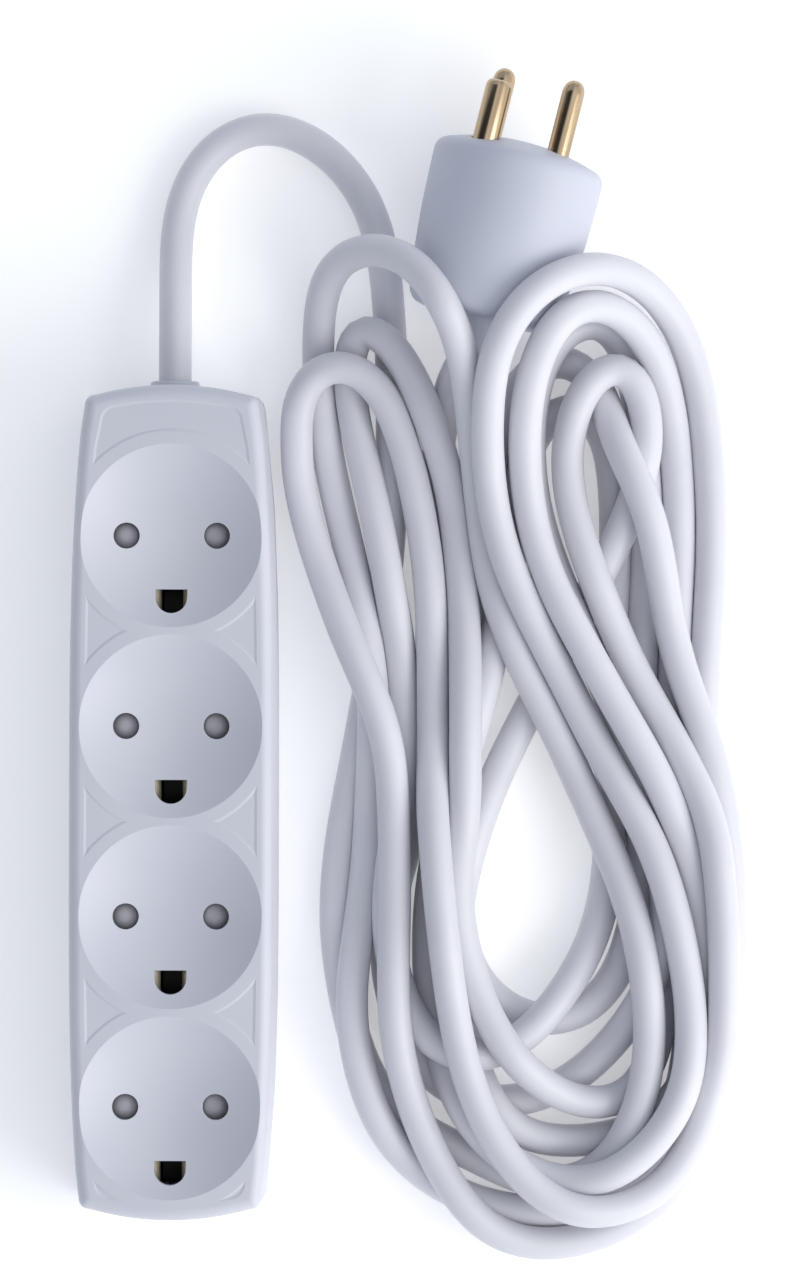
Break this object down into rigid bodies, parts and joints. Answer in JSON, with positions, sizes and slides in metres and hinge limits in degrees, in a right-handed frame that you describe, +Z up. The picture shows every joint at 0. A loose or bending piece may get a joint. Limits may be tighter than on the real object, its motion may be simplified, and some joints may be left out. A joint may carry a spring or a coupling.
{
  "type": "extension cord",
  "caption": "Multi-way extension lead with round dished earthed sockets, sprung child shutters, a folded white cord and a moulded round plug with round pins.",
  "frame": {"origin": "middle of the socket strip's underside", "axes": "+Z up out of the sockets, +Y along the strip towards the cord's entry, +X towards the folded cord"},
  "size_m": [0.1442, 0.2528, 0.04],
  "materials": {
    "white_plastic": "smooth, slightly glossy moulded plastic",
    "cord_sheath": "satin PVC sheath",
    "grey_plastic": "satin moulded plastic",
    "brass": "plain stamped and turned brass",
    "steel": "zinc-plated steel",
    "brown_core": "PVC core insulation",
    "blue_core": "PVC core insulation",
    "green_yellow_core": "PVC core insulation, green and yellow"
  },
  "bodies": {
    "lead": {"top_cover": "white_plastic", "bottom_cover": "white_plastic", "cord_bush": "white_plastic", "cord_clamp": "white_plastic", "plug_body": "white_plastic", "plug_sleeve": "white_plastic", "cord_lead": "cord_sheath", "cord_hank": "cord_sheath", "cord_tail": "cord_sheath", "plug_insert": "grey_plastic", "shutter_tray_1": "grey_plastic", "shutter_tray_2": "grey_plastic", "shutter_tray_3": "grey_plastic", "shutter_tray_4": "grey_plastic", "live_busbar": "brass", "neutral_busbar": "brass", "earth_busbar": "brass", "plug_pin_left": "brass", "plug_pin_right": "brass", "plug_earth_pin": "brass", "case_screw_1": "steel", "case_screw_2": "steel", "case_screw_3": "steel", "case_screw_4": "steel", "clamp_screw_1": "steel", "clamp_screw_2": "steel", "shutter_spring_1": "steel", "shutter_spring_2": "steel", "shutter_spring_3": "steel", "shutter_spring_4": "steel", "strip_live_wire": "brown_core", "plug_live_wire": "brown_core", "strip_neutral_wire": "blue_core", "plug_neutral_wire": "blue_core", "strip_earth_wire": "green_yellow_core", "plug_earth_wire": "green_yellow_core"},
    "shutter_1_body": {"shutter_1": "grey_plastic"},
    "shutter_2_body": {"shutter_2": "grey_plastic"},
    "shutter_3_body": {"shutter_3": "grey_plastic"},
    "shutter_4_body": {"shutter_4": "grey_plastic"}
  },
  "joints": [
    {"name": "shutter_1_slide", "type": "slide", "parent": "lead", "child": "shutter_1_body", "axis": [0, 1, 0], "range_m": [0, 0.0062], "stiffness_N_per_m": 40, "springref_m": -0.003, "deforming": ["shutter_spring_1"]},
    {"name": "shutter_2_slide", "type": "slide", "parent": "lead", "child": "shutter_2_body", "axis": [0, 1, 0], "range_m": [0, 0.0062], "stiffness_N_per_m": 40, "springref_m": -0.003, "deforming": ["shutter_spring_2"]},
    {"name": "shutter_3_slide", "type": "slide", "parent": "lead", "child": "shutter_3_body", "axis": [0, 1, 0], "range_m": [0, 0.0062], "stiffness_N_per_m": 40, "springref_m": -0.003, "deforming": ["shutter_spring_3"]},
    {"name": "shutter_4_slide", "type": "slide", "parent": "lead", "child": "shutter_4_body", "axis": [0, 1, 0], "range_m": [0, 0.0062], "stiffness_N_per_m": 40, "springref_m": -0.003, "deforming": ["shutter_spring_4"]}
  ]
}
